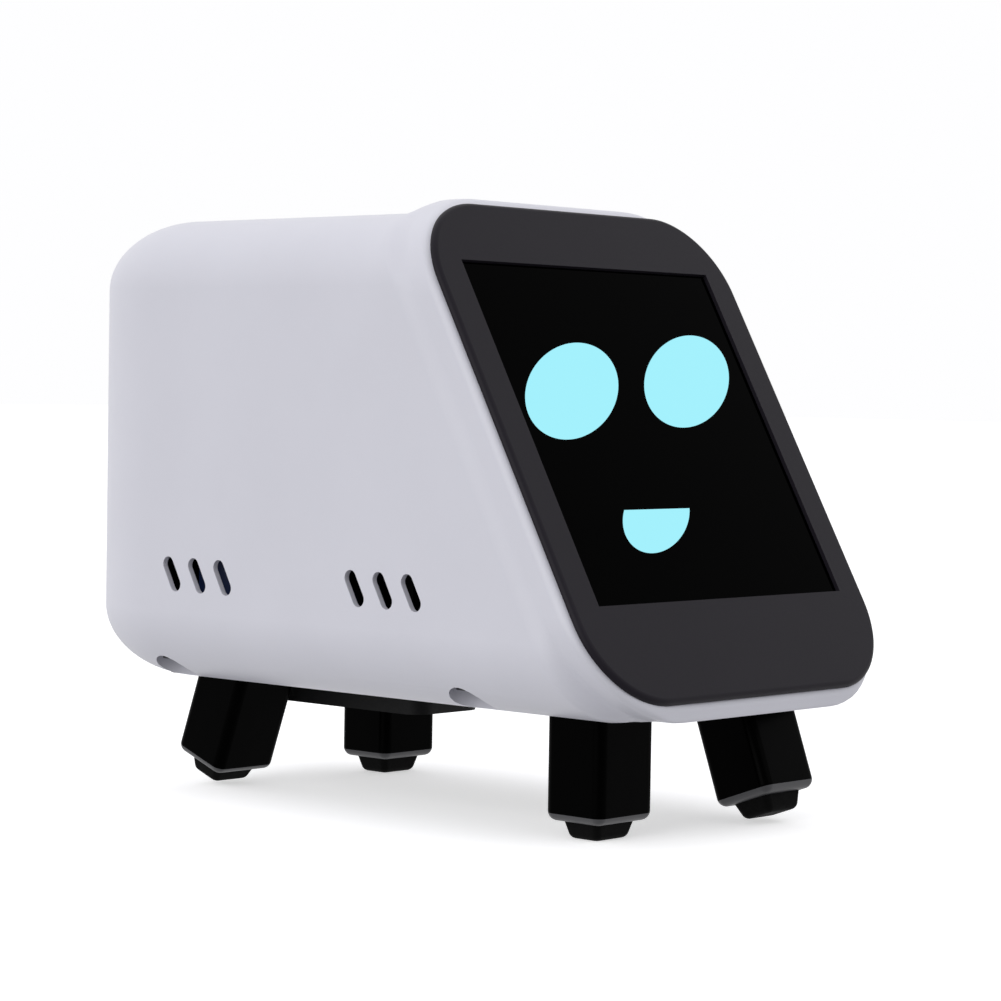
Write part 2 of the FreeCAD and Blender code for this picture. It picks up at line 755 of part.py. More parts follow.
def disc(radius):
    """Disc as wide as the gears, about X."""
    return Part.makeCylinder(radius, size("gear_width"), Vector(), X_AXIS)


def hip_gear(direction):
    """Gear with teeth on the half that meets the pinion, and a bored hub."""
    half_arc = math.radians(45)
    corners = [Vector()]
    for step in (-1, -0.33, 0.33, 1):
        angle = direction + half_arc * step
        corners.append(Vector(0, math.cos(angle), math.sin(angle)) * 12)
    wedge = Part.Face(Part.makePolygon(corners + corners[:1]))
    wedge = wedge.extrude(X_AXIS * size("gear_width"))
    toothed = spur_gear(int(size("hip_teeth")), direction).common(wedge)
    return toothed.fuse(disc(2.3)).cut(disc(size("axle_radius")))


def drive_pinion(direction):
    """Gear with a gap towards the hip gear, bored for the servo's shaft."""
    teeth = int(size("pinion_teeth"))
    gear = spur_gear(teeth, direction + math.pi + math.pi / teeth)
    return gear.cut(disc(size("shaft_radius")))


def feature(name, shape, x, place, degrees):
    """Solid from a shape, placed on a body axis and turned about it."""
    thing = doc.addObject("Part::Feature", name)
    thing.Shape = shape
    turn(thing, degrees)
    return on_body(thing, x, *place)


def make_drive(corner, side, end, rest):
    """Hip gear and axle, the pinion that meets the gear, and the servo's shaft."""
    lean = math.radians(size("gear_lean"))
    direction = math.pi / 2 - lean if end == "front" else math.pi / 2 + lean
    follow = f"-({rest}) * hip_teeth / pinion_teeth"
    gear_x = side_x(side, "gear_inner_x", "gear_inner_x + gear_width")
    node(f"hip_gear_{corner}",
         feature(f"hip_gear_{corner}", hip_gear(direction), gear_x, hip_place(end), rest))
    node(f"drive_pinion_{corner}",
         feature(f"drive_pinion_{corner}", drive_pinion(direction), gear_x,
                 shaft_place(end), follow))
    shaft = rod(f"servo_shaft_{corner}", "shaft_radius", "shaft_end_x - gear_inner_x")
    on_body(shaft, side_x(side, "gear_inner_x", "shaft_end_x"), *shaft_place(end))
    node(f"servo_shaft_{corner}", shaft)
    axle = rod(f"hip_axle_{corner}", "axle_radius", "axle_outer_x - axle_inner_x")
    on_body(axle, side_x(side, "axle_inner_x", "axle_outer_x"), *hip_place(end))
    node(f"hip_axle_{corner}", axle)


# ---- legs ----------------------------------------------------------------------

def centred(name, width, depth, height, top):
    """Box centred on the leg's own axis, hanging from a height."""
    thing = box(name, width, depth, height)
    move(thing, f"-({width}) / 2", f"-({depth}) / 2", f"{top} - ({height})")
    return thing


def leg_block(corner):
    """Whole outside of a leg: a block with rounded foot, round about the hip."""
    drop = "ground_gap + hip_z - toe_height"
    shank = centred(f"shank_{corner}", "leg_width", "leg_depth", drop, "0")
    doc.recompute()
    shaped = rounded(f"shaped_shank_{corner}", shank, "leg_round",
                     lambda e: e.BoundBox.ZMin < shank.Shape.BoundBox.ZMin + 1e-6)
    hub = rod(f"hub_{corner}", "leg_depth / 2", "leg_width")
    move(hub, "-leg_width / 2", "0", "0")
    return fuse(f"leg_outside_{corner}", shaped, hub)


def make_leg(corner, side, end, rest):
    """Leg core, the black cover round it and the foot under it, in hip axes."""
    sole_z = "-(ground_gap + hip_z - toe_height - sole_thick)"
    outside = leg_block(corner)
    room = centred(f"cover_room_{corner}", "leg_width - 2 * cover_wall",
                   "leg_depth - 2 * cover_wall", "25", "2.2")
    above = centred(f"above_sole_{corner}", "20", "20", f"10 - ({sole_z})", "10")
    hole = rod(f"cover_hole_{corner}", "axle_radius + 0.2", "20")
    move(hole, "-10", "0", "0")
    cover = cut(f"leg_cover_{corner}", common(f"cover_block_{corner}", outside, above),
                room, hole)
    core_block = centred(f"core_block_{corner}", "leg_width - 2 * cover_wall - 0.1",
                         "leg_depth - 2 * cover_wall - 0.1", f"2.15 - ({sole_z})", "2.15")
    core_bore = rod(f"core_bore_{corner}", "axle_radius", "20")
    move(core_bore, "-10", "0", "0")
    core = cut(f"leg_core_{corner}", core_block, core_bore)
    under = centred(f"under_sole_{corner}", "20", "20", "10", sole_z)
    toe_block = centred(f"toe_block_{corner}", "toe_width", "toe_depth",
                        "toe_height + sole_thick / 2",
                        f"{sole_z} - sole_thick / 2")
    doc.recompute()
    toe = rounded(f"toe_{corner}", toe_block, "toe_round",
                  lambda e: e.BoundBox.ZMin < toe_block.Shape.BoundBox.ZMin + 1e-6)
    foot = fuse(f"foot_{corner}", common(f"sole_{corner}", outside, under), toe)
    for name, thing in (("leg_cover", cover), ("leg_core", core), ("foot", foot)):
        turn(thing, rest)
        on_body(thing, f"{side} * leg_x", *hip_place(end))
        node(f"{name}_{corner}", thing)


# Corners are named from the robot's own seat: its right side is at -X.
# The rest swing is in degrees, positive with the foot swung rearwards.
CORNERS = {
    "front_right": (-1, "front", "0"),
    "front_left": (1, "front", "-swing"),
    "rear_right": (-1, "rear", "swing"),
    "rear_left": (1, "rear", "0"),
}

make_shell()
make_face()
make_frame()
make_belly()
make_fasteners()
make_electronics()
for corner, (side, end, rest) in CORNERS.items():
    make_servo(corner, side, end)
    make_drive(corner, side, end, rest)
    make_leg(corner, side, end, rest)

# ---- check and write -------------------------------------------------------------

doc.recompute()
for thing in doc.Objects:
    if "Invalid" in thing.State or "Error" in thing.State:
        raise SystemExit(f"{thing.Label}: {thing.State}")
os.makedirs("parts", exist_ok=True)
for name, thing in nodes.items():
    shape = thing.Shape
    if shape.isNull() or not shape.isValid() or not shape.Solids:
        raise SystemExit(f"{name}: bad shape")
    shape.exportStep(f"parts/{name}.step")
whole = Part.makeCompound([thing.Shape for thing in nodes.values()])
print(len(nodes), "sub-parts", whole.BoundBox)
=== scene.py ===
"""Looks of a small desk robot on four short legs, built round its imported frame.

The shell, the face, the legs and the port are remodelled here, and every other part of
the frame gets a finish. All lengths in the classes are millimetres, in the robot's own
axes: +Z up, the face towards -Y, and the robot's right side at -X.
"""
import json
import logging
import math
from dataclasses import dataclass, field
from enum import Enum
from typing import Callable, Iterable, Sequence

import bmesh
import bpy
from mathutils import Matrix, Vector

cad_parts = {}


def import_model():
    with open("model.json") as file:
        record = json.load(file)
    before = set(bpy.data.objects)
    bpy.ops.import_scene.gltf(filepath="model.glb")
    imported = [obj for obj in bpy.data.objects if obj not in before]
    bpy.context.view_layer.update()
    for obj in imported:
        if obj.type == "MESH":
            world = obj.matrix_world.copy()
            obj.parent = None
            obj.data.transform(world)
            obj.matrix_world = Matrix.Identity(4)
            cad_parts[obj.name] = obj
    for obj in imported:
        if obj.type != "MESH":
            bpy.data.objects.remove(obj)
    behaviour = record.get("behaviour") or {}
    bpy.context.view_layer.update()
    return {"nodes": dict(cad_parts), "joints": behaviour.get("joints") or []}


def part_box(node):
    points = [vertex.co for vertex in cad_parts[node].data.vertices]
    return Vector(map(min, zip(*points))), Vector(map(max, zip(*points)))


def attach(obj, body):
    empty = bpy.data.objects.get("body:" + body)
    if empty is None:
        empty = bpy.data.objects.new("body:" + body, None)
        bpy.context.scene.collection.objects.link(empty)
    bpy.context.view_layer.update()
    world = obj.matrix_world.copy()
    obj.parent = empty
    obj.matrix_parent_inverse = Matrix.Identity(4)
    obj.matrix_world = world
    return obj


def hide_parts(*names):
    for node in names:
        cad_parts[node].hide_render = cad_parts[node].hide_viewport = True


log = logging.getLogger("desk_robot")
MM = 0.001
# Degrees by which a leg stands away from upright at rest; the others are upright.
REST_SWINGS = {"front_left": -20.0, "rear_right": 20.0}


# ---------------------------------------------------------------------------------
# Colours, nodes and finishes
# ---------------------------------------------------------------------------------

def linear(hex_colour: str) -> tuple[float, float, float, float]:
    """Turn an sRGB hex colour into the linear one that shaders take.

    Args:
        hex_colour: Six hex digits with a leading hash.

    Returns:
        Red, green, blue and an alpha of 1.
    """
    def channel(text: str) -> float:
        """One channel, from two hex digits."""
        value = int(text, 16) / 255
        return value / 12.92 if value <= 0.04045 else ((value + 0.055) / 1.055) ** 2.4
    digits = hex_colour.lstrip("#")
    return (*(channel(digits[i:i + 2]) for i in (0, 2, 4)), 1.0)


def add_node(tree: bpy.types.NodeTree, kind: str, settings: dict | None = None,
             values: dict | None = None, links: dict | None = None) -> bpy.types.Node:
    """Add a node, with its settings, socket values and incoming links.

    Args:
        tree: Node tree that gets the node.
        kind: Blender's name for the node's type.
        settings: Attributes of the node.
        values: Input name to default value.
        links: Input name to the output socket that feeds it.

    Returns:
        The new node.
    """
    node = tree.nodes.new(kind)
    for name, value in (settings or {}).items():
        setattr(node, name, value)
    for name, value in (values or {}).items():
        node.inputs[name].default_value = value
    for name, socket in (links or {}).items():
        tree.links.new(socket, node.inputs[name])
    return node


class Grain(Enum):
    """How a surface was made, which sets the pattern of its fine relief."""

    SPARK = "spark-eroded mould, an even fine sand"
    POLISHED = "polished mould, a faint long ripple"
    TURNED = "turned or ground metal, fine rings along the axis"
    CAST_RUBBER = "moulded rubber, a soft coarse sand"


@dataclass(frozen=True)
class Finish:
    """One real material and the way its surface was made."""

    name: str
    colour: str
    roughness: float
    grain: Grain = Grain.SPARK
    grain_mm: float = 0.35
    relief: float = 0.12
    metallic: float = 0.0
    ior: float = 1.5
    coat: float = 0.0
    specular: float = 0.5
    tint: float = 0.06
    glow: str | None = None
    glow_strength: float = 0.0
    subsurface: float = 0.0

    def build(self) -> bpy.types.Material:
        """Make the material.

        Returns:
            The material, or the one made before.
        """
        found = bpy.data.materials.get(self.name)
        if found:
            return found
        material = bpy.data.materials.new(self.name)
        material.use_nodes = True
        tree = material.node_tree
        shader = tree.nodes["Principled BSDF"]
        for socket, value in (("Metallic", self.metallic), ("IOR", self.ior),
                              ("Coat Weight", self.coat),
                              ("Specular IOR Level", self.specular),
                              ("Subsurface Weight", self.subsurface)):
            shader.inputs[socket].default_value = value
        if self.subsurface:
            shader.inputs["Subsurface Radius"].default_value = (1.0, 0.9, 0.9)
            shader.inputs["Subsurface Scale"].default_value = MM
        if self.glow:
            shader.inputs["Emission Color"].default_value = linear(self.glow)
            shader.inputs["Emission Strength"].default_value = self.glow_strength
        self._dress(tree, shader)
        return material

    def _dress(self, tree: bpy.types.NodeTree, shader: bpy.types.Node) -> None:
        """Link the colour drift, the roughness drift and the relief.

        Args:
            tree: The material's node tree.
            shader: Its Principled shader.
        """
        places = add_node(tree, "ShaderNodeTexCoord")
        stretch = (1.0, 1.0, 1.0)
        if self.grain is Grain.TURNED:
            stretch = (6.0, 0.5, 0.5)
        mapping = add_node(tree, "ShaderNodeMapping", values={"Scale": stretch},
                           links={"Vector": places.outputs["Object"]})
        drift = add_node(tree, "ShaderNodeTexNoise",
                         values={"Scale": 1 / (14 * MM), "Detail": 3.0, "Roughness": 0.55},
                         links={"Vector": places.outputs["Object"]})
        fine = add_node(tree, "ShaderNodeTexNoise",
                        values={"Scale": 1 / (self.grain_mm * MM), "Detail": 2.0},
                        links={"Vector": mapping.outputs["Vector"]})
        base = linear(self.colour)
        shader.inputs["Base Color"].default_value = base
        if self.tint:
            self._drift_colour(tree, shader, base, drift)
        rough = add_node(tree, "ShaderNodeMapRange",
                         values={"To Min": max(0.02, self.roughness * 0.88),
                                 "To Max": min(1.0, self.roughness * 1.12)},
                         links={"Value": fine.outputs["Fac"]})
        tree.links.new(rough.outputs["Result"], shader.inputs["Roughness"])
        if self.relief:
            bump = add_node(tree, "ShaderNodeBump",
                            values={"Strength": self.relief,
                                    "Distance": self.grain_mm * MM / 4},
                            links={"Height": fine.outputs["Fac"]})
            tree.links.new(bump.outputs["Normal"], shader.inputs["Normal"])

    def _drift_colour(self, tree: bpy.types.NodeTree, shader: bpy.types.Node,
                      base: tuple, drift: bpy.types.Node) -> None:
        """Link a slight drift of the colour over the surface.

        Args:
            tree: The material's node tree.
            shader: Its Principled shader.
            base: Linear colour that it drifts about.
            drift: Noise that it follows.
        """
        tone = add_node(tree, "ShaderNodeValToRGB", links={"Fac": drift.outputs["Fac"]})
        low, high = tone.color_ramp.elements
        low.position, high.position = 0.3, 0.7
        low.color = (*(c * (1 - self.tint) for c in base[:3]), 1)
        high.color = (*(min(1, c * (1 + self.tint)) for c in base[:3]), 1)
        tree.links.new(tone.outputs["Color"], shader.inputs["Base Color"])


# Moulded ABS with a fine spark-eroded grain: soft highlights that never turn sharp.
SHELL_ABS = Finish("white_abs_spark_eroded", "#DFDFE9", 0.42, tint=0.012,
                   grain_mm=0.3, relief=0.05, subsurface=0.05)
# Dark ABS, the same grain, a little smoother: a broad grey sheen.
BEZEL_ABS = Finish("charcoal_abs_satin", "#221F26", 0.45, tint=0.03, grain_mm=0.3,
                   relief=0.06, specular=0.13)
# Printed cover glass with an anti-reflection coat: deep black with a faint gloss.
COVER_GLASS = Finish("black_cover_glass_coated", "#000000", 0.06, Grain.POLISHED,
                     grain_mm=12, relief=0.0, tint=0.0, specular=0.008)
# Lit part of the display seen through the glass: flat, even light.
LIT_DISPLAY = Finish("display_backlit_cyan", "#101414", 0.3, Grain.POLISHED, grain_mm=12,
                    relief=0.0, tint=0.0, specular=0.05, glow="#A1EFFB",
                    glow_strength=1.0)
# Polished black ABS: near black, with bright edges where it turns away.
LEG_ABS = Finish("black_abs_polished", "#010101", 0.3, Grain.POLISHED, grain_mm=9,
                 relief=0.03, tint=0.05, specular=0.02)
# Grey ABS of the leg's inner block and sole plate.
SOLE_ABS = Finish("grey_abs_satin", "#4A4A4D", 0.45, tint=0.03)
# Moulded rubber: dull, soft black.
TOE_RUBBER = Finish("black_rubber_moulded", "#060606", 0.8, Grain.CAST_RUBBER,
                    grain_mm=0.5, relief=0.25, tint=0.08, specular=0.1)
# Black frame ABS with a coarser grain, as on parts meant to stay out of sight.
FRAME_ABS = Finish("black_abs_coarse_grain", "#0C0C0E", 0.55, grain_mm=0.5, relief=0.2,
                   specular=0.3)
# Blackened zinc screws and ground axles.
SCREW_STEEL = Finish("blackened_zinc_steel", "#4A4A4E", 0.38, Grain.TURNED,
                     grain_mm=0.25, relief=0.15, metallic=1.0)
AXLE_STEEL = Finish("ground_steel_rod", "#B9BABD", 0.28, Grain.TURNED, grain_mm=0.2,
                    relief=0.15, metallic=1.0)
PORT_STEEL = Finish("stamped_nickel_steel", "#C4C2BC", 0.3, Grain.TURNED,
                    grain_mm=0.3, relief=0.08, metallic=1.0)
PANEL_METAL = Finish("stamped_aluminium_sheet", "#C2C5C9", 0.36, Grain.TURNED,
                     grain_mm=0.3, relief=0.1, metallic=1.0)
# Natural nylon gears: creamy, a little translucent.
GEAR_NYLON = Finish("natural_nylon_moulded", "#E6E3D6", 0.5, tint=0.02, subsurface=0.3,
                    grain_mm=0.4)
SERVO_ABS = Finish("navy_abs_servo_case", "#1F2E5A", 0.35, tint=0.04)
SOLDER_MASK = Finish("green_solder_mask", "#0F4A2C", 0.3, Grain.POLISHED, grain_mm=3,
                     relief=0.1, tint=0.1)
BATTERY_FILM = Finish("blue_pvc_shrink_film", "#2F5F9A", 0.2, Grain.POLISHED,
                      grain_mm=6, relief=0.25, coat=0.4)
FOAM = Finish("grey_polyurethane_foam", "#4A4A4C", 0.9, Grain.CAST_RUBBER, grain_mm=0.6,
              relief=0.5, tint=0.12)


# ---------------------------------------------------------------------------------
# Modelling bench
# ---------------------------------------------------------------------------------

def clear_selection() -> None:
    """Deselect every object."""
    bpy.ops.object.select_all(action="DESELECT")


def activate(piece: bpy.types.Object) -> None:
    """Make a piece the only selected and the active object."""
    clear_selection()
    piece.select_set(True)
    bpy.context.view_layer.objects.active = piece


def named(name: str) -> bpy.types.Object:
    """Name the primitive that was just added."""
    piece = bpy.context.active_object
    piece.name = piece.data.name = name
    return piece


def block(name: str, low: Sequence[float], high: Sequence[float]) -> bpy.types.Object:
    """Add a cube primitive stretched between two corners, in millimetres.

    Args:
        name: Name of the piece.
        low: Lowest corner.
        high: Highest corner.

    Returns:
        The block, with its size and place in its mesh.
    """
    clear_selection()
    centre = [(a + b) / 2 * MM for a, b in zip(low, high)]
    bpy.ops.mesh.primitive_cube_add(size=1, location=centre)
    piece = named(name)
    piece.scale = [(b - a) * MM for a, b in zip(low, high)]
    apply_place(piece)
    return piece


def drum(name: str, radius: float, low: Sequence[float], length: float, axis: str = "Z",
         sides: int = 64) -> bpy.types.Object:
    """Add a cylinder primitive that starts at a point and runs along an axis.

    Args:
        name: Name of the piece.
        radius: Its radius in millimetres.
        low: Middle of its first end, in millimetres.
        length: Its length in millimetres.
        axis: X, Y or Z.
        sides: Number of its sides.

    Returns:
        The cylinder, with its size and place in its mesh.
    """
    clear_selection()
    turn = {"X": (0, math.pi / 2, 0), "Y": (-math.pi / 2, 0, 0), "Z": (0, 0, 0)}[axis]
    step = Vector({"X": (1, 0, 0), "Y": (0, 1, 0), "Z": (0, 0, 1)}[axis]) * length / 2
    bpy.ops.mesh.primitive_cylinder_add(vertices=sides, radius=radius * MM,
                                        depth=length * MM, rotation=turn,
                                        location=(Vector(low) + step) * MM)
    piece = named(name)
    apply_place(piece)
    return piece


def apply_place(piece: bpy.types.Object) -> None:
    """Put a piece's place, turn and scale into its mesh."""
    activate(piece)
    bpy.ops.object.transform_apply(location=True, rotation=True, scale=True)


def move_into(piece: bpy.types.Object, place: Matrix) -> None:
    """Carry a piece modelled at the origin to its place, inside its mesh."""
    piece.matrix_world = place
    apply_place(piece)


def bevel_where(piece: bpy.types.Object, width: float, segments: int,
                wanted: Callable[[bmesh.types.BMEdge], bool]) -> None:
    """Bevel the edges that a test picks.

    Args:
        piece: Piece to shape.
        width: Width of the bevel in millimetres.
        segments: Number of its segments.
        wanted: Test for an edge.
    """
    activate(piece)
    bpy.ops.object.mode_set(mode="EDIT")
    bpy.ops.mesh.select_mode(type="EDGE")
    bpy.ops.mesh.select_all(action="DESELECT")
    shape = bmesh.from_edit_mesh(piece.data)
    for edge in shape.edges:
        edge.select_set(wanted(edge))
    bmesh.update_edit_mesh(piece.data)
    bpy.ops.mesh.bevel(offset=width * MM, segments=segments, affect="EDGES",
                       clamp_overlap=True)
    bpy.ops.object.mode_set(mode="OBJECT")


def along(axis: int) -> Callable[[bmesh.types.BMEdge], bool]:
    """Make a test for edges that run along an axis.

    Args:
        axis: 0, 1 or 2.

    Returns:
        The test.
    """
    def wanted(edge: bmesh.types.BMEdge) -> bool:
        """Whether an edge runs that way."""
        span = edge.verts[1].co - edge.verts[0].co
        return abs(span[axis]) > 0.999 * span.length
    return wanted


def both_at(axis: int, value: float) -> Callable[[bmesh.types.BMEdge], bool]:
    """Make a test for edges that lie in a plane.

    Args:
        axis: Axis that the plane stands across: 0, 1 or 2.
        value: Where it stands, in millimetres.

    Returns:
        The test.
    """
    def wanted(edge: bmesh.types.BMEdge) -> bool:
        """Whether both ends of an edge are in the plane."""
        return all(abs(vert.co[axis] - value * MM) < 1e-6 for vert in edge.verts)
    return wanted


def boolean(piece: bpy.types.Object, tools: Iterable[bpy.types.Object],
            operation: str = "DIFFERENCE") -> None:
    """Apply a boolean with each tool in turn and remove the tools.

    Args:
        piece: Piece to cut or add to.
        tools: Objects that shape it.
        operation: DIFFERENCE, UNION or INTERSECT.
    """
    for tool in tools:
        modifier = piece.modifiers.new("shape", "BOOLEAN")
        modifier.operation = operation
        modifier.solver = "EXACT"
        modifier.object = tool
        activate(piece)
        bpy.ops.object.modifier_apply(modifier=modifier.name)
        bpy.data.objects.remove(tool)


def smooth(piece: bpy.types.Object, degrees: float = 32) -> None:
    """Shade a piece smooth and keep its flat faces flat.

    Args:
        piece: Piece to shade.
        degrees: Angle past which an edge stays sharp.
    """
    activate(piece)
    bpy.ops.object.shade_smooth_by_angle(angle=math.radians(degrees))
    modifier = piece.modifiers.new("flat_faces", "WEIGHTED_NORMAL")
    modifier.keep_sharp = True
    bpy.ops.object.modifier_apply(modifier=modifier.name)


def dress(piece: bpy.types.Object, finish: Finish) -> None:
    """Give a piece one material."""
    piece.data.materials.clear()
    piece.data.materials.append(finish.build())


def finish_piece(piece: bpy.types.Object, finish: Finish, body: str, slot: str,
                 *nodes: str) -> bpy.types.Object:
    """Dress a piece, let it ride on its body and hide the CAD nodes that it replaces.

    Args:
        piece: Finished piece.
        finish: Its finish.
        body: CAD body that it moves with.
        slot: The record's material slot; not used.
        *nodes: CAD nodes that it replaces.

    Returns:
        The piece.
    """
    dress(piece, finish)
    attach(piece, body)
    if nodes:
        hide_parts(*nodes)
    log.info("%s rides on %s", piece.name, body)
    return piece


# ---------------------------------------------------------------------------------
# Robot
# ---------------------------------------------------------------------------------

@dataclass
class Layout:
    """Where the robot's main planes are, worked out from the frame."""

    body_length: float = 100.0
    body_width: float = 62.8
    body_height: float = 64.5
    lean: float = 29.3
    rim: float = 1.65
    rear_y: float = field(init=False)
    front_y: float = field(init=False)
    foot_y: float = field(init=False)
    under_z: float = field(init=False)

    def __post_init__(self) -> None:
        """Read the shell's box."""
        low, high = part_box("main_shell")
        self.rear_y = high.y / MM
        self.front_y = low.y / MM
        self.foot_y = self.rear_y - self.body_length
        self.under_z = low.z / MM

    @property
    def slope(self) -> float:
        """How far the face runs back for each millimetre up."""
        return math.tan(math.radians(self.lean))

    @property
    def rim_step(self) -> float:
        """How far the rim stands before the display's plane, along the body."""
        return self.rim / math.cos(math.radians(self.lean))

    def face_matrix(self) -> Matrix:
        """Place of the face's axes: across, up the slope and out of it."""
        half = self.body_height / 2
        origin = Vector((0, self.foot_y + half * self.slope, self.under_z + half)) * MM
        return Matrix.Translation(origin) @ Matrix.Rotation(
            math.radians(90 - self.lean), 4, "X")


@dataclass
class Outline:
    """Rounded rectangle seen from the front, with its sizes in millimetres."""

    half_width: float
    low: float
    high: float
    round_x: float
    round_z: float

    corner_steps: int = 14
    side_steps: int = 8

    def inset(self, depth: float) -> "Outline":
        """The outline drawn in by a depth all round."""
        return Outline(self.half_width - depth, self.low + depth, self.high - depth,
                       max(0.0, self.round_x - depth), max(0.0, self.round_z - depth))

    def mixed(self, other: "Outline", share: float) -> "Outline":
        """The outline part of the way to another.

        Args:
            other: Outline to go towards.
            share: How far, from 0 to 1.

        Returns:
            The outline between the two.
        """
        def mix(a: float, b: float) -> float:
            """One size part of the way."""
            return a + (b - a) * share
        return Outline(mix(self.half_width, other.half_width), mix(self.low, other.low),
                       mix(self.high, other.high), mix(self.round_x, other.round_x),
                       mix(self.round_z, other.round_z))

    def points(self) -> list[tuple[float, float]]:
        """Walk round the outline.

        Returns:
            Points (x, z), the same number for every outline.
        """
        found = []
        for quarter in range(4):
            side = (1, 1, -1, -1)[quarter]
            top = (-1, 1, 1, -1)[quarter]
            centre_x = side * (self.half_width - self.round_x)
            centre_z = (self.high - self.round_z) if top > 0 else (self.low + self.round_z)
            for step in range(self.corner_steps + 1):
                angle = math.pi / 2 * (quarter - 1 + step / self.corner_steps)
                found.append((centre_x + self.round_x * math.cos(angle),
                              centre_z + self.round_z * math.sin(angle)))
            found.extend([None] * (self.side_steps - 1))
        return self._fill(found)

    def _fill(self, found: list) -> list[tuple[float, float]]:
        """Fill the straight stretches between the corners.

        Args:
            found: Points in order, None where one is still to be filled in.

        Returns:
            The same list with every point.
        """
        count = len(found)
        for n in range(count):
            if found[n] is None:
                last = found[n - 1]
                gap = 1
                while found[(n + gap) % count] is None:
                    gap += 1
                goal = found[(n + gap) % count]
                found[n] = (last[0] + (goal[0] - last[0]) / (gap + 1),
                            last[1] + (goal[1] - last[1]) / (gap + 1))
        return found


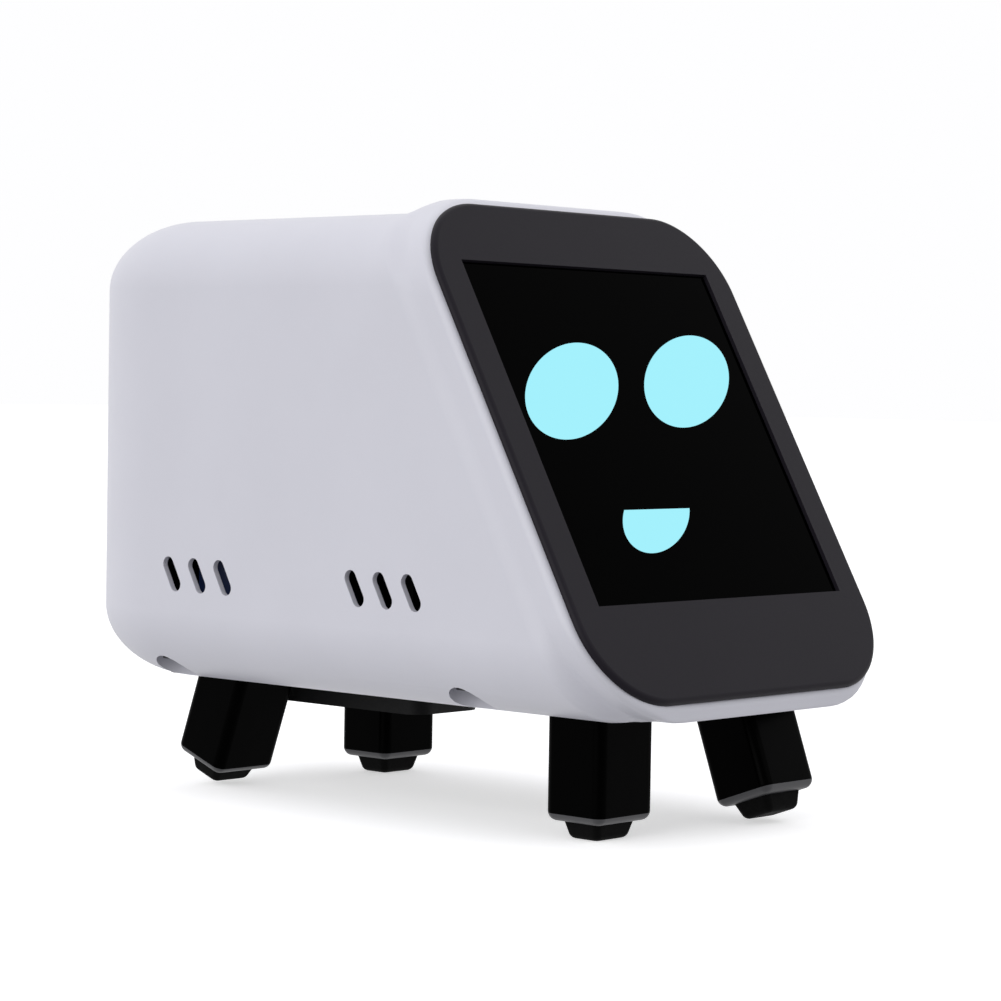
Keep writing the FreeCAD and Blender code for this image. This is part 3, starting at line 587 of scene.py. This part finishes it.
@dataclass
class Shell:
    """White one-piece shell: leaning face rim, raised collar and rounded rear."""

    layout: Layout
    wall: float = 2.0
    edge_round: float = 9.9
    rear_round: float = 16.4
    collar_half: float = 30.9
    collar_up: tuple[float, float] = (-37.9, 38.5)
    collar_round: float = 15.4
    collar_flat: float = 2.2
    collar_step: float = 3.6
    lip: float = 1.8
    hole_half: float = 27.5
    hole_up: tuple[float, float] = (-26.0, 31.5)
    vent_size: tuple[float, float] = (2.1, 5.2)
    vent_height: float = 15.1
    vent_pitch: float = 5.15
    vent_middles: tuple[float, float] = (37.1, 72.9)
    vent_skin: float = 0.8
    floor_half: float = 21.6
    floor_end: float = 90.8
    floor_round: float = 3.0
    fit_gap: float = 0.25
    port_gap: float = 0.3
    button_hole: float = 3.8
    screw_head: float = 2.3
    seat: tuple[float, float, float] = (3.85, 4.2, 1.8)
    pocket: float = 3.2
    screw_hole: float = 1.2

    def _height(self, up: float) -> float:
        """Height over the underside of a point up the slope, in the rim's plane."""
        lean = math.radians(self.layout.lean)
        return (self.layout.body_height / 2 + up * math.cos(lean)
                + self.layout.rim * math.sin(lean))

    def leaning(self, depth: float) -> Callable[[float], float]:
        """Distance behind the face's foot, by height, at a depth behind the rim."""
        return lambda z: z * self.layout.slope + depth - self.layout.rim_step

    def collar(self) -> Outline:
        """Outline of the raised collar round the face, seen from the front."""
        return Outline(self.collar_half, self._height(self.collar_up[0]),
                       self._height(self.collar_up[1]), self.collar_round,
                       self.collar_round * math.cos(math.radians(self.layout.lean)))

    def body(self) -> Outline:
        """Outline of the shell's body, seen from the front."""
        lay = self.layout
        return Outline(lay.body_width / 2, 0, lay.body_height, self.edge_round,
                       self.edge_round)

    def rear(self, body: Outline, inset: float) -> list:
        """Rings of the rounded rear.

        Args:
            body: Outline that runs into the rear.
            inset: How far it is drawn in from the outside.

        Returns:
            Pairs of an outline and a function from height to distance behind the
            face's foot.
        """
        start = self.layout.body_length - self.rear_round
        steps = 14
        found = [(body, lambda z: start - 4)]
        for step in range(steps + 1):
            angle = math.pi / 2 * step / steps
            depth = start + (self.rear_round - inset) * math.sin(angle)
            found.append((body.inset((self.edge_round - inset) * (1 - math.cos(angle))),
                          lambda z, depth=depth: depth))
        return found

    def blend(self, inset: float) -> list:
        """Rings from the collar down to the body behind it.

        Args:
            inset: How far they are drawn in from the outside.

        Returns:
            Pairs of an outline and a function from height to distance behind the
            face's foot.
        """
        start = self.lip + self.collar_flat
        steps = 10
        found = []
        for step in range(steps + 1):
            share = step / steps
            eased = share * share * (3 - 2 * share)
            found.append((self.collar().mixed(self.body(), eased).inset(inset),
                          self.leaning(start + self.collar_step * share)))
        body = self.body().inset(inset)
        found.append((body, self.leaning(start + self.collar_step + 1)))
        found.append((body, self.leaning(start + self.collar_step + 4)))
        return found + self.rear(body, inset)

    def outer_rings(self) -> list:
        """Rings of the outside, from the rim's inner edge to the rear.

        Returns:
            Pairs of an outline and a function from height to distance behind the
            face's foot.
        """
        found = []
        steps = 6
        for step in range(steps + 1):
            angle = math.pi / 2 * step / steps
            found.append((self.collar().inset(self.lip * (1 - math.sin(angle))),
                          self.leaning(self.lip * (1 - math.cos(angle)))))
        return found + self.blend(0)

    def inner_rings(self) -> list:
        """Rings of the hollow, a wall's thickness inside the outside.

        Returns:
            Pairs of an outline and a function from height to distance behind the
            face's foot.
        """
        front = self.wall / math.cos(math.radians(self.layout.lean))
        return [(self.collar().inset(self.wall), self.leaning(front)),
                *self.blend(self.wall)]

    def skin(self, name: str, rings: list) -> bpy.types.Object:
        """Wrap a grid primitive round the rings and close its seam and its ends.

        Args:
            name: Name of the piece.
            rings: Pairs of an outline and a function from height to distance.

        Returns:
            The closed skin, with its faces outwards.
        """
        outlines = [outline.points() for outline, _ in rings]
        around, deep = len(outlines[0]), len(rings) - 1
        clear_selection()
        bpy.ops.mesh.primitive_grid_add(x_subdivisions=around, y_subdivisions=deep, size=1)
        piece = named(name)
        for vert in piece.data.vertices:
            column = round((vert.co.x + 0.5) * around) % around
            row = round((vert.co.y + 0.5) * deep)
            x, z = outlines[row][column]
            y = max(self.layout.front_y, self.layout.foot_y + rings[row][1](z))
            vert.co = Vector((x, y, self.layout.under_z + z)) * MM
        activate(piece)
        bpy.ops.object.mode_set(mode="EDIT")
        bpy.ops.mesh.select_all(action="SELECT")
        bpy.ops.mesh.remove_doubles(threshold=1e-6)
        middle = (self.layout.foot_y + self.layout.body_length * 0.7) * MM
        for rearwards in (False, True):
            bpy.ops.mesh.select_mode(type="EDGE")
            bpy.ops.mesh.select_all(action="DESELECT")
            shape = bmesh.from_edit_mesh(piece.data)
            for edge in shape.edges:
                edge.select_set(edge.is_boundary
                                and (edge.verts[0].co.y > middle) is rearwards)
            bmesh.update_edit_mesh(piece.data)
            bpy.ops.mesh.edge_face_add()
        bpy.ops.mesh.select_all(action="SELECT")
        bpy.ops.mesh.normals_make_consistent(inside=False)
        bpy.ops.object.mode_set(mode="OBJECT")
        return piece

    def vents(self) -> list[bpy.types.Object]:
        """Shape the leaning slots.

        Returns:
            Cutters, each right across the shell.
        """
        width, length = self.vent_size
        across = self.layout.body_width / 2 + 1
        tools = []
        for middle in self.vent_middles:
            for step in (-1, 0, 1):
                tool = block("vent", (-across, -width / 2, -length / 2),
                             (across, width / 2, length / 2))
                bevel_where(tool, width / 2 * 0.999, 8, along(0))
                place = Vector((0, self.layout.foot_y + middle + step * self.vent_pitch,
                                self.layout.under_z + self.vent_height)) * MM
                move_into(tool, Matrix.Translation(place)
                          @ Matrix.Rotation(-math.radians(self.layout.lean), 4, "X"))
                tools.append(tool)
        return tools

    def thinnings(self) -> list[bpy.types.Object]:
        """Thin the wall from inside round each group of slots.

        Returns:
            Cutters, one for each pair of groups.
        """
        across = self.layout.body_width / 2 - self.vent_skin
        reach = self.vent_pitch + 4
        tools = []
        for middle in self.vent_middles:
            y = self.layout.foot_y + middle
            z = self.layout.under_z + self.vent_height
            tool = block("thinning", (-across, y - reach, z - 4.2),
                         (across, y + reach, z + 4.2))
            bevel_where(tool, 1.5, 6, along(0))
            tools.append(tool)
        return tools

    def openings(self) -> list[bpy.types.Object]:
        """Shape the holes for the face, the floor, the port and the button.

        Returns:
            Cutters.
        """
        lay = self.layout
        frame_low, frame_high = (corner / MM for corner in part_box("servo_frame"))
        gap = self.fit_gap
        floor_half = self.floor_half + gap
        floor_end = lay.foot_y + self.floor_end + gap
        hole_low, hole_high = self.hole_up
        face = block("face", (-self.hole_half, hole_low, -4),
                     (self.hole_half, hole_high, self.layout.rim + 1))
        bevel_where(face, self.floor_round, 8, along(2))
        move_into(face, lay.face_matrix())
        tools = [face]
        floor = block("floor", (-floor_half, frame_low.y - gap, lay.under_z - 3),
                      (floor_half, floor_end, lay.under_z + 2.35))
        bevel_where(floor, self.floor_round, 8, along(2))
        tools.append(floor)
        inner_half = floor_half - self.floor_round
        tools.append(block("floor_rear", (-inner_half, floor_end - 12, lay.under_z - 3),
                           (inner_half, floor_end, lay.under_z + 5)))
        port_low, port_high = (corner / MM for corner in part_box("usb_socket"))
        room = self.port_gap
        port = block("port", (port_low.x - room, lay.rear_y - 4, port_low.z - room),
                     (port_high.x + room, lay.rear_y + 1, port_high.z + room))
        bevel_where(port, 1.4, 8, along(1))
        tools.append(port)
        cap_low, cap_high = (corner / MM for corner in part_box("power_button"))
        middle = (cap_low + cap_high) / 2
        tools.append(drum("cap", self.button_hole, (middle.x, lay.rear_y - 4, middle.z), 6,
                          "Y", 64))
        return tools

    def pockets(self, piece: bpy.types.Object) -> None:
        """Add the four screw seats and sink their pockets.

        Args:
            piece: The shell, already hollow.
        """
        lay = self.layout
        heads_low, heads_high = (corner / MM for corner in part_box("shell_screws"))
        head = self.screw_head
        seat_radius, seat_up, seat_thick = self.seat
        places = [(x, y) for x in (heads_low.x + head, heads_high.x - head)
                  for y in (heads_low.y + head, heads_high.y - head)]
        seats = [drum("seat", seat_radius, (x, y, lay.under_z + seat_up), seat_thick)
                 for x, y in places]
        boolean(piece, seats, "UNION")
        cuts = [drum("pocket", self.pocket, (x, y, lay.under_z - 2), 6.4)
                for x, y in places]
        cuts += [drum("through", self.screw_hole, (x, y, lay.under_z), 8, sides=24)
                 for x, y in places]
        boolean(piece, cuts)

    def build(self) -> bpy.types.Object:
        """Make the shell.

        Returns:
            The finished piece.
        """
        piece = self.skin("shell_body", self.outer_rings())
        boolean(piece, [self.skin("hollow", self.inner_rings())])
        boolean(piece, self.openings())
        self.pockets(piece)
        boolean(piece, [*self.thinnings(), *self.vents()])
        smooth(piece)
        return finish_piece(piece, SHELL_ABS, "root", "shell_abs", "main_shell")


@dataclass
class Face:
    """Dark bezel, the black glass in it and the lit face behind the glass."""

    layout: Layout
    bezel: tuple[float, float] = (60.7, 72.5)
    bezel_middle: float = 1.07
    bezel_round: float = 12.0
    bezel_thick: float = 0.85
    bezel_edge: float = 0.75
    ledge: float = 0.9
    glass_thick: float = 1.1
    screen: tuple[float, float] = (50.6, 49.7)
    screen_middle: float = 3.36
    eye: tuple[float, float] = (11.3, 5.85)
    slant: float = 26.0
    right_eye: tuple[float, float] = (-13.1, 9.4)
    left_eye: tuple[float, float] = (11.75, 11.2)
    smile_share: float = 0.74
    smile_middle: tuple[float, float] = (-6.4, -9.0)
    smile_height: float = 0.9
    locating_lip: tuple[float, float, float] = (27.2, -25.7, 31.2)
    panel_room: tuple[float, float, float] = (26.2, -24.1, 29.7)

    def make_bezel(self) -> None:
        """Rounded plate with a stepped window and a locating lip behind."""
        half_w, half_h = self.bezel[0] / 2, self.bezel[1] / 2
        middle = self.bezel_middle
        rim = self.layout.rim
        front = rim + self.bezel_thick
        piece = block("bezel_plate", (-half_w, middle - half_h, rim),
                      (half_w, middle + half_h, front))
        bevel_where(piece, self.bezel_round, 24, along(2))
        bevel_where(piece, self.bezel_edge, 6, both_at(2, front))
        lip_half, lip_low, lip_high = self.locating_lip
        room_half, room_low, room_high = self.panel_room
        lip = block("lip", (-lip_half, lip_low, -1.6), (lip_half, lip_high, rim + 0.1))
        bevel_where(lip, 2.8, 8, along(2))
        boolean(piece, [lip], "UNION")
        boolean(piece, [
            block("room", (-room_half, room_low, -2), (room_half, room_high, 0.05)),
            self._screen_block("window", -1.1, -1, front + 1),
            self._screen_block("rebate", 0.0, self.ledge, front + 1),
        ])
        move_into(piece, self.layout.face_matrix())
        smooth(piece)
        finish_piece(piece, BEZEL_ABS, "root", "bezel_abs", "face_bezel")

    def _screen_block(self, name: str, grow: float, low: float,
                      high: float) -> bpy.types.Object:
        """Block over the screen, grown on every side, between two depths."""
        half_w, half_h = (side / 2 + grow for side in self.screen)
        return block(name, (-half_w, self.screen_middle - half_h, low),
                     (half_w, self.screen_middle + half_h, high))

    def make_glass(self) -> None:
        """Cover glass with ground edges."""
        top = self.ledge + self.glass_thick
        piece = self._screen_block("cover_glass", -0.05, self.ledge, top)
        bevel_where(piece, 0.12, 2, both_at(2, top))
        move_into(piece, self.layout.face_matrix())
        smooth(piece)
        finish_piece(piece, COVER_GLASS, "root", "screen_glass", "display_glass")

    def slanted_disc(self, name: str, middle: tuple[float, float],
                     share: float = 1.0) -> bpy.types.Object:
        """Thin slanted oval on the glass, still in the face's own axes.

        Args:
            name: Name of the piece.
            middle: Its middle, across and up the face.
            share: Its size as a share of an eye's.

        Returns:
            The oval.
        """
        piece = drum(name, 1, (0, 0, 0), 0.04, sides=128)
        piece.scale = (self.eye[0] * share, self.eye[1] * share, 1)
        piece.rotation_euler.z = math.radians(self.slant)
        piece.location = Vector((*middle, self.ledge + self.glass_thick)) * MM
        apply_place(piece)
        return piece

    def make_features(self) -> None:
        """Two slanted round eyes and a plain smile, as lit areas just over the glass."""
        self._light(self.slanted_disc("eye_right", self.right_eye))
        self._light(self.slanted_disc("eye_left", self.left_eye))
        smile = self.slanted_disc("smile", self.smile_middle, self.smile_share)
        top = self.smile_middle[1] + self.smile_height
        boolean(smile, [block("upper_lip", (-30, top, 0), (30, top + 20, 5))])
        bevel_where(smile, 0.9, 6, lambda edge: along(2)(edge)
                    and edge.calc_face_angle(0) > 0.6)
        self._light(smile)

    def _light(self, piece: bpy.types.Object) -> None:
        """Carry a lit area to the face and finish it."""
        move_into(piece, self.layout.face_matrix())
        smooth(piece)
        finish_piece(piece, LIT_DISPLAY, "root", "screen_glass")

    def build(self) -> None:
        """Make the whole face."""
        self.make_bezel()
        self.make_glass()
        self.make_features()


@dataclass
class Leg:
    """One leg round its hip: black cover, grey sole plate and rubber toe."""

    corner: str
    hip: Vector
    swing: float
    reach: float
    width: float = 11.0
    depth: float = 9.5
    side_round: float = 1.4
    foot_round: float = 1.3
    sole: float = 1.0
    toe: tuple[float, float, float] = (8.0, 6.2, 2.3)
    toe_taper: float = 0.8
    core: tuple[float, float, float] = (4.4, 3.65, 2.2)
    axle_hole: float = 1.45

    def place(self) -> Matrix:
        """Place of the hip's axes, turned by the rest swing."""
        return Matrix.Translation(self.hip) @ Matrix.Rotation(
            math.radians(self.swing), 4, "X")

    def shank(self, name: str) -> bpy.types.Object:
        """Whole outside of the leg, round about the hip and at the foot.

        Args:
            name: Name of the piece.

        Returns:
            The shank, still in the hip's own axes.
        """
        half_w, half_d = self.width / 2, self.depth / 2
        bottom = -(self.reach - self.toe[2])
        piece = block(name, (-half_w, -half_d, bottom), (half_w, half_d, half_d))
        bevel_where(piece, self.side_round, 8, along(2))
        bevel_where(piece, self.foot_round, 8, both_at(2, bottom))
        profile = block("profile", (-20, -half_d - 0.01, -40), (20, half_d + 0.01, 0))
        boolean(profile, [drum("crown", half_d + 0.01, (-20, 0, 0), 40, "X", 96)], "UNION")
        boolean(piece, [profile], "INTERSECT")
        return piece

    def tread(self) -> bpy.types.Object:
        """Shape the small toe under the sole, narrower at the ground.

        Returns:
            The toe, still in the hip's own axes.
        """
        toe_w, toe_d, toe_h = self.toe
        piece = block(f"toe_{self.corner}", (-toe_w / 2, -toe_d / 2, -self.reach),
                      (toe_w / 2, toe_d / 2, -self.reach + toe_h + 0.3))
        for vert in piece.data.vertices:
            if vert.co.z < (-self.reach + 0.1) * MM:
                vert.co.x *= self.toe_taper
                vert.co.y *= self.toe_taper
        bevel_where(piece, 0.9, 5, lambda edge: not both_at(2, -self.reach)(edge)
                    and not both_at(2, -self.reach + toe_h + 0.3)(edge))
        bevel_where(piece, 0.7, 5, both_at(2, -self.reach))
        return piece

    def build(self) -> None:
        """Make the leg's three visible pieces."""
        body = f"leg_{self.corner}"
        split = -(self.reach - self.toe[2] - self.sole)
        cover = self.shank(f"shin_cover_{self.corner}")
        core_w, core_d, core_up = self.core
        inner = block("inner", (-core_w, -core_d, -30), (core_w, core_d, core_up))
        below = block("below", (-20, -20, -40), (20, 20, split))
        axle = drum("axle_hole", self.axle_hole, (-10, 0, 0), 20, "X", 32)
        boolean(cover, [below, inner, axle])
        sole = self.shank(f"sole_plate_{self.corner}")
        boolean(sole, [block("above", (-20, -20, split), (20, 20, 20))])
        toe = self.tread()
        for piece, finish, slot, nodes in (
                (cover, LEG_ABS, "leg_black", (f"leg_cover_{self.corner}",)),
                (sole, SOLE_ABS, "foot_rubber", (f"foot_{self.corner}",)),
                (toe, TOE_RUBBER, "foot_rubber", ())):
            move_into(piece, self.place())
            smooth(piece)
            finish_piece(piece, finish, body, slot, *nodes)


@dataclass
class RearFittings:
    """Power button cap and the port in the shell's rear."""

    layout: Layout

    def build(self) -> None:
        """Make the button's cap and the port's shell."""
        low, high = (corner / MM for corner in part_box("power_button"))
        middle = (low + high) / 2
        cap = drum("button_cap", 3.5, (middle.x, low.y + 0.4, middle.z),
                   high.y - low.y - 0.4, "Y", 64)
        bevel_where(cap, 0.35, 4, both_at(1, high.y))
        flange = drum("flange", 4.3, (middle.x, low.y, middle.z), 0.8, "Y", 64)
        boolean(cap, [flange], "UNION")
        smooth(cap)
        finish_piece(cap, BEZEL_ABS, "button", "button_abs", "power_button")
        low, high = (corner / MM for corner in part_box("usb_socket"))
        port = block("port_shell", low, high)
        bevel_where(port, 1.3, 8, along(1))
        mouth = block("mouth", (low.x + 0.3, low.y + 1, low.z + 0.3),
                      (high.x - 0.3, high.y + 1, high.z - 0.3))
        bevel_where(mouth, 1.1, 8, along(1))
        boolean(port, [mouth])
        smooth(port)
        finish_piece(port, PORT_STEEL, "root", "port_steel", "usb_socket")
        tongue = block("port_tongue", ((low.x + high.x) / 2 - 3.3, low.y + 0.9,
                                       (low.z + high.z) / 2 - 0.35),
                       ((low.x + high.x) / 2 + 3.3, high.y - 1.2,
                        (low.z + high.z) / 2 + 0.35))
        bevel_where(tongue, 0.2, 2, along(0))
        smooth(tongue)
        finish_piece(tongue, FRAME_ABS, "root", "frame_abs")


@dataclass
class Works:
    """Every part of the frame that is shown as it is, with its finish."""

    finishes: dict[str, Finish] = field(default_factory=lambda: {
        "servo_frame": FRAME_ABS, "belly_cover": FRAME_ABS, "speaker": FRAME_ABS,
        "power_switch": FRAME_ABS, "lcd_panel": PANEL_METAL,
        "processor_module": PANEL_METAL, "display_board": SOLDER_MASK,
        "main_board": SOLDER_MASK, "battery_pad": FOAM, "battery_pack": BATTERY_FILM,
        "screws": SCREW_STEEL, "servo_shaft": AXLE_STEEL, "hip_axle": AXLE_STEEL,
        "drive_pinion": GEAR_NYLON, "hip_gear": GEAR_NYLON, "leg_core": SOLE_ABS,
        "servo_": SERVO_ABS,
    })

    def build(self, nodes: dict[str, bpy.types.Object]) -> None:
        """Dress each shown node with the first finish whose key is in its name.

        Args:
            nodes: CAD nodes by name.
        """
        for name, node in nodes.items():
            if node.hide_render:
                continue
            finish = next(f for key, f in self.finishes.items() if key in name)
            dress(node, finish)
            log.info("%s keeps its shape, in %s", name, finish.name)


# ---------------------------------------------------------------------------------
# Studio
# ---------------------------------------------------------------------------------

@dataclass
class Studio:
    """Pale floor, soft lights and the camera."""

    layout: Layout
    azimuth: float = -47.722
    elevation: float = 2.101
    roll: float = 0.948
    distance: float = 417.24
    shift_right: float = 3.442
    shift_up: float = -6.424
    lens: float = 107.2
    bright_side: tuple[float, float, float] = (0.68, 0.62, 0.3)
    bright: float = 1.0
    dim: float = 0.24

    def camera(self) -> None:
        """Place the camera by its angles round the middle of the body."""
        turn, rise, tilt = (math.radians(v) for v in
                            (self.azimuth, self.elevation, self.roll))
        back = Vector((math.sin(turn) * math.cos(rise), -math.cos(turn) * math.cos(rise),
                       math.sin(rise)))
        right = Vector((math.cos(turn), math.sin(turn), 0))
        up = back.cross(right)
        rolled_right = right * math.cos(tilt) + up * math.sin(tilt)
        rolled_up = up * math.cos(tilt) - right * math.sin(tilt)
        lay = self.layout
        middle = Vector((0, lay.foot_y + lay.body_length / 2,
                         lay.under_z + lay.body_height / 2))
        place = (middle + rolled_right * self.shift_right + rolled_up * self.shift_up
                 + back * self.distance) * MM
        data = bpy.data.cameras.new("camera")
        data.lens = self.lens
        data.sensor_width = 36
        data.clip_start = 0.01
        camera = bpy.data.objects.new("camera", data)
        bpy.context.scene.collection.objects.link(camera)
        axes = Matrix((rolled_right, rolled_up, back)).transposed().to_4x4()
        camera.matrix_world = Matrix.Translation(place) @ axes
        bpy.context.scene.camera = camera

    def floor(self) -> None:
        """Pale floor under the toes."""
        clear_selection()
        bpy.ops.mesh.primitive_plane_add(size=12, location=(0, 0, 0))
        floor = named("studio_floor")
        dress(floor, Finish("studio_paper", "#F4F4F5", 0.9, tint=0.0, relief=0.0,
                            specular=0.0, glow="#FFFFFF", glow_strength=0.5))
        floor.visible_diffuse = floor.visible_glossy = False

    def lamp(self, name: str, place: Sequence[float], power: float, size: float) -> None:
        """Area lamp aimed at the robot's middle.

        Args:
            name: Name of the lamp.
            place: Where it hangs, in metres.
            power: Its power in watts.
            size: Its side in metres.
        """
        data = bpy.data.lights.new(name, "AREA")
        data.energy = power
        data.size = size
        lamp = bpy.data.objects.new(name, data)
        lamp.location = place
        aim = Vector((0, 0, 0.045)) - Vector(place)
        lamp.rotation_euler = aim.to_track_quat("-Z", "Y").to_euler()
        bpy.context.scene.collection.objects.link(lamp)

    def surroundings(self) -> None:
        """White room, brightest behind the robot and above it."""
        world = bpy.data.worlds.new("studio")
        world.use_nodes = True
        tree = world.node_tree
        places = add_node(tree, "ShaderNodeTexCoord")
        towards = add_node(tree, "ShaderNodeVectorMath", {"operation": "DOT_PRODUCT"},
                           links={0: places.outputs["Generated"]})
        towards.inputs[1].default_value = self.bright_side
        level = add_node(tree, "ShaderNodeMapRange", values={
            "From Min": -1.0, "From Max": 0.75, "To Min": self.dim, "To Max": self.bright},
            links={"Value": towards.outputs["Value"]})
        background = tree.nodes["Background"]
        background.inputs["Color"].default_value = linear("#FEFEFF")
        tree.links.new(level.outputs["Result"], background.inputs["Strength"])
        bpy.context.scene.world = world

    def build(self) -> None:
        """Set the floor, the lights, the surroundings and the camera."""
        bpy.context.scene.view_settings.view_transform = "Standard"
        self.floor()
        self.lamp("key", (-1.1, -0.1, 0.4), 5.6, 0.9)
        self.lamp("fill", (0.2, -1.2, 0.9), 2.0, 0.9)
        self.surroundings()
        self.camera()


def main() -> None:
    """Build the robot round its frame and light it."""
    logging.basicConfig(level=logging.INFO, format="%(name)s: %(message)s")
    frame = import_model()
    layout = Layout()
    Studio(layout).build()
    Shell(layout).build()
    Face(layout).build()
    for joint in frame["joints"]:
        if joint["name"].startswith("hip_"):
            corner = joint["name"].removeprefix("hip_")
            hip = Vector(joint["pos_m"])
            Leg(corner, hip, REST_SWINGS.get(corner, 0.0), hip.z / MM).build()
    RearFittings(layout).build()
    Works().build(frame["nodes"])


if __name__ == "__main__":
    main()
